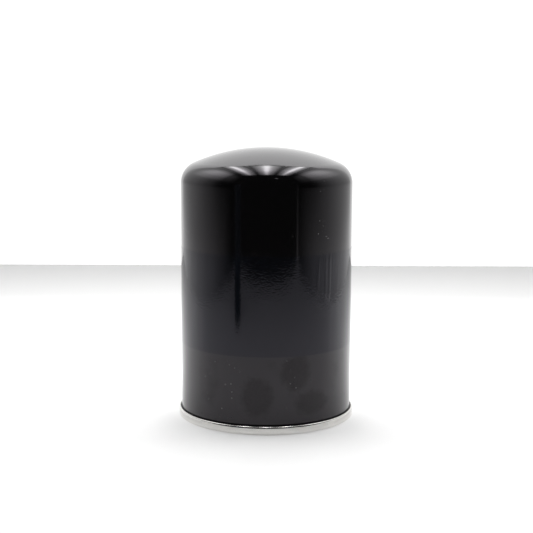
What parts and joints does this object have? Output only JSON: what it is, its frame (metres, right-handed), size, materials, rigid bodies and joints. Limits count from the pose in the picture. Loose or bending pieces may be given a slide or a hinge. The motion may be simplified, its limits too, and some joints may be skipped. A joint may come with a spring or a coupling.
{
  "type": "oil filter",
  "caption": "Spin-on engine oil filter: gloss black domed can with a plain label band, silver rolled seam, threaded plate, gasket, pleated element and spring-loaded valves inside.",
  "frame": {"origin": "centre of the gasket's sealing face, which is what the filter stands on", "axes": "+Z along the axis from the threaded end towards the closed dome; the label's lap is at +Y, the back"},
  "size_m": [0.093, 0.093, 0.1415],
  "materials": {
    "can_paint": "gloss black baked paint with a faint orange peel",
    "label_film": "gloss blue-black film, plain",
    "zinc_plate": "dull zinc plating",
    "seam_compound": "matt cured sealing compound",
    "plate_steel": "oiled bare pressed steel",
    "gasket_rubber": "smooth nitrile with a light film of oil",
    "membrane_rubber": "matt moulded nitrile",
    "cap_steel": "bright tinplate",
    "adhesive": "satin cured adhesive",
    "filter_paper": "matt resin-bonded paper",
    "tube_steel": "pressed strip steel",
    "valve_plastic": "glass-filled nylon",
    "spring_steel": "oil-tempered wire"
  },
  "bodies": {
    "housing": {"housing_can": "can_paint", "label_band": "label_film", "seaming_lid": "zinc_plate", "seam_compound": "seam_compound", "tapping_plate": "plate_steel", "mounting_gasket": "gasket_rubber", "support_spring": "spring_steel"},
    "element": {"lower_end_cap": "cap_steel", "lower_potting": "adhesive", "pleated_media": "filter_paper", "media_seam_clip": "cap_steel", "centre_tube": "tube_steel", "upper_end_cap": "cap_steel", "upper_potting": "adhesive", "bypass_cage": "tube_steel", "bypass_seat_plate": "tube_steel", "bypass_spring": "spring_steel"},
    "bypass_valve": {"bypass_poppet": "valve_plastic", "bypass_seal": "membrane_rubber"},
    "drain_valve": {"anti_drain_membrane": "membrane_rubber"}
  },
  "joints": [
    {"name": "element_lift", "type": "slide", "parent": "housing", "child": "element", "axis": [0, 0, 1], "range_m": [0, 0.002], "stiffness_N_per_m": 8000, "springref_m": -0.006, "deforming": ["support_spring"]},
    {"name": "bypass_open", "type": "slide", "parent": "element", "child": "bypass_valve", "axis": [0, 0, -1], "range_m": [0, 0.004], "stiffness_N_per_m": 2000, "springref_m": -0.01, "deforming": ["bypass_spring"]},
    {"name": "anti_drain_open", "type": "slide", "parent": "housing", "child": "drain_valve", "axis": [0, 0, 1], "range_m": [0, 0.0018], "stiffness_N_per_m": 300, "springref_m": -0.001, "deforming": ["anti_drain_membrane"]}
  ]
}
